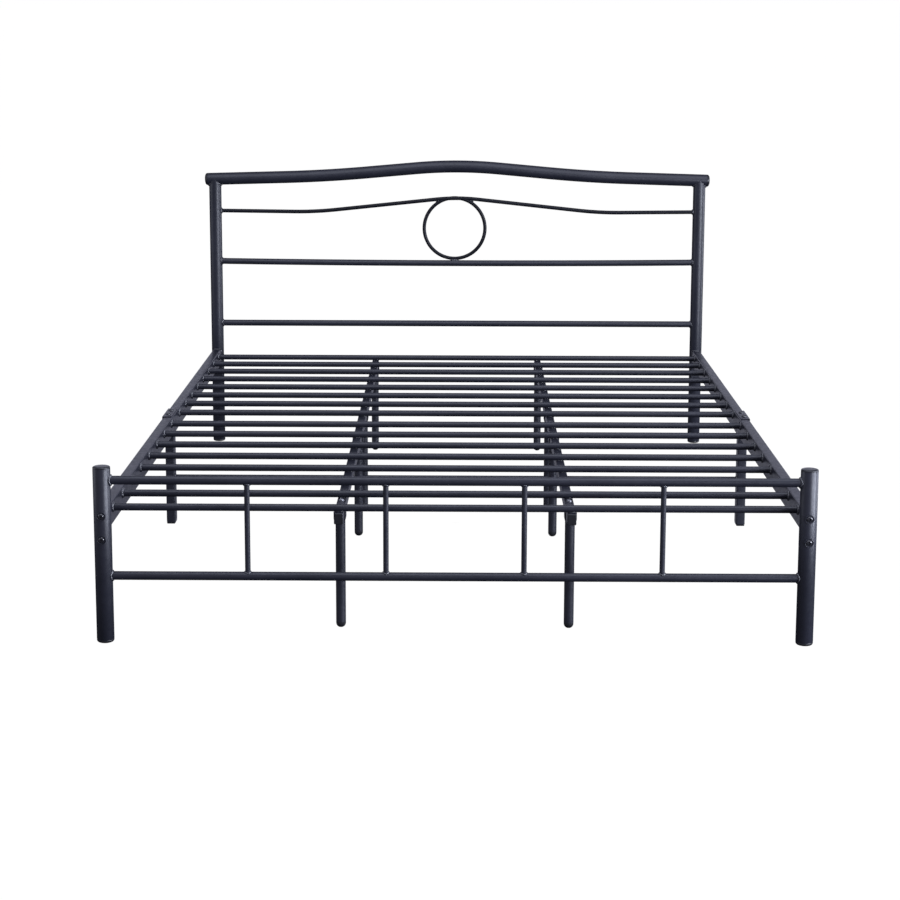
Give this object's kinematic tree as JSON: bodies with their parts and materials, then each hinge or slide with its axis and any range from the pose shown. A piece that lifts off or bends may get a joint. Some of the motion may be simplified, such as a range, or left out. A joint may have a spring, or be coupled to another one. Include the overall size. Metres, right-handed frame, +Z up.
{
  "type": "metal bed frame",
  "caption": "Metal bed frame with an arched tube headboard with a ring, a low footboard with spindles, and a slatted deck on side rails, centre rails and legs.",
  "frame": {"origin": "on the floor, under the middle of the frame", "axes": "+X to the right seen from the foot end, +Y from the foot end to the headboard, +Z up"},
  "size_m": [1.582, 2.1246, 0.8978],
  "materials": {
    "frame_powder_coat": "satin navy-black powder coat",
    "black_plastic": "moulded satin",
    "bolt_steel": "blackened satin"
  },
  "bodies": {
    "root": {"head_top_rail": "frame_powder_coat", "head_mid_rail": "frame_powder_coat", "head_low_rail": "frame_powder_coat", "head_ring": "frame_powder_coat", "foot_top_rail": "frame_powder_coat", "foot_low_rail": "frame_powder_coat", "head_scroll_rod_left": "frame_powder_coat", "head_scroll_rod_right": "frame_powder_coat", "head_post_left": "frame_powder_coat", "head_post_right": "frame_powder_coat", "foot_post_left": "frame_powder_coat", "foot_post_right": "frame_powder_coat", "foot_spindle_1": "frame_powder_coat", "foot_spindle_2": "frame_powder_coat", "foot_spindle_3": "frame_powder_coat", "foot_spindle_4": "frame_powder_coat", "side_rail_left_foot": "frame_powder_coat", "side_rail_left_head": "frame_powder_coat", "side_rail_right_foot": "frame_powder_coat", "side_rail_right_head": "frame_powder_coat", "side_joiner_left": "frame_powder_coat", "side_joiner_right": "frame_powder_coat", "middle_leg_frame": "frame_powder_coat", "slat_01": "frame_powder_coat", "slat_02": "frame_powder_coat", "slat_03": "frame_powder_coat", "slat_04": "frame_powder_coat", "slat_05": "frame_powder_coat", "slat_06": "frame_powder_coat", "slat_07": "frame_powder_coat", "slat_08": "frame_powder_coat", "slat_09": "frame_powder_coat", "slat_10": "frame_powder_coat", "slat_11": "frame_powder_coat", "slat_12": "frame_powder_coat", "slat_13": "frame_powder_coat", "slat_14": "frame_powder_coat", "slat_15": "frame_powder_coat", "slat_16": "frame_powder_coat", "centre_rail_left_foot": "frame_powder_coat", "centre_rail_left_head": "frame_powder_coat", "centre_rail_right_foot": "frame_powder_coat", "centre_rail_right_head": "frame_powder_coat", "centre_leg_left_1": "frame_powder_coat", "centre_leg_left_2": "frame_powder_coat", "centre_leg_left_3": "frame_powder_coat", "centre_leg_left_4": "frame_powder_coat", "centre_leg_right_1": "frame_powder_coat", "centre_leg_right_2": "frame_powder_coat", "centre_leg_right_3": "frame_powder_coat", "centre_leg_right_4": "frame_powder_coat", "head_rail_cap_left": "black_plastic", "head_rail_cap_right": "black_plastic", "foot_post_cap_left": "black_plastic", "foot_post_cap_right": "black_plastic", "head_post_bolts_left": "bolt_steel", "head_post_bolts_right": "bolt_steel", "foot_post_bolts_left": "bolt_steel", "foot_post_bolts_right": "bolt_steel"}
  },
  "joints": []
}
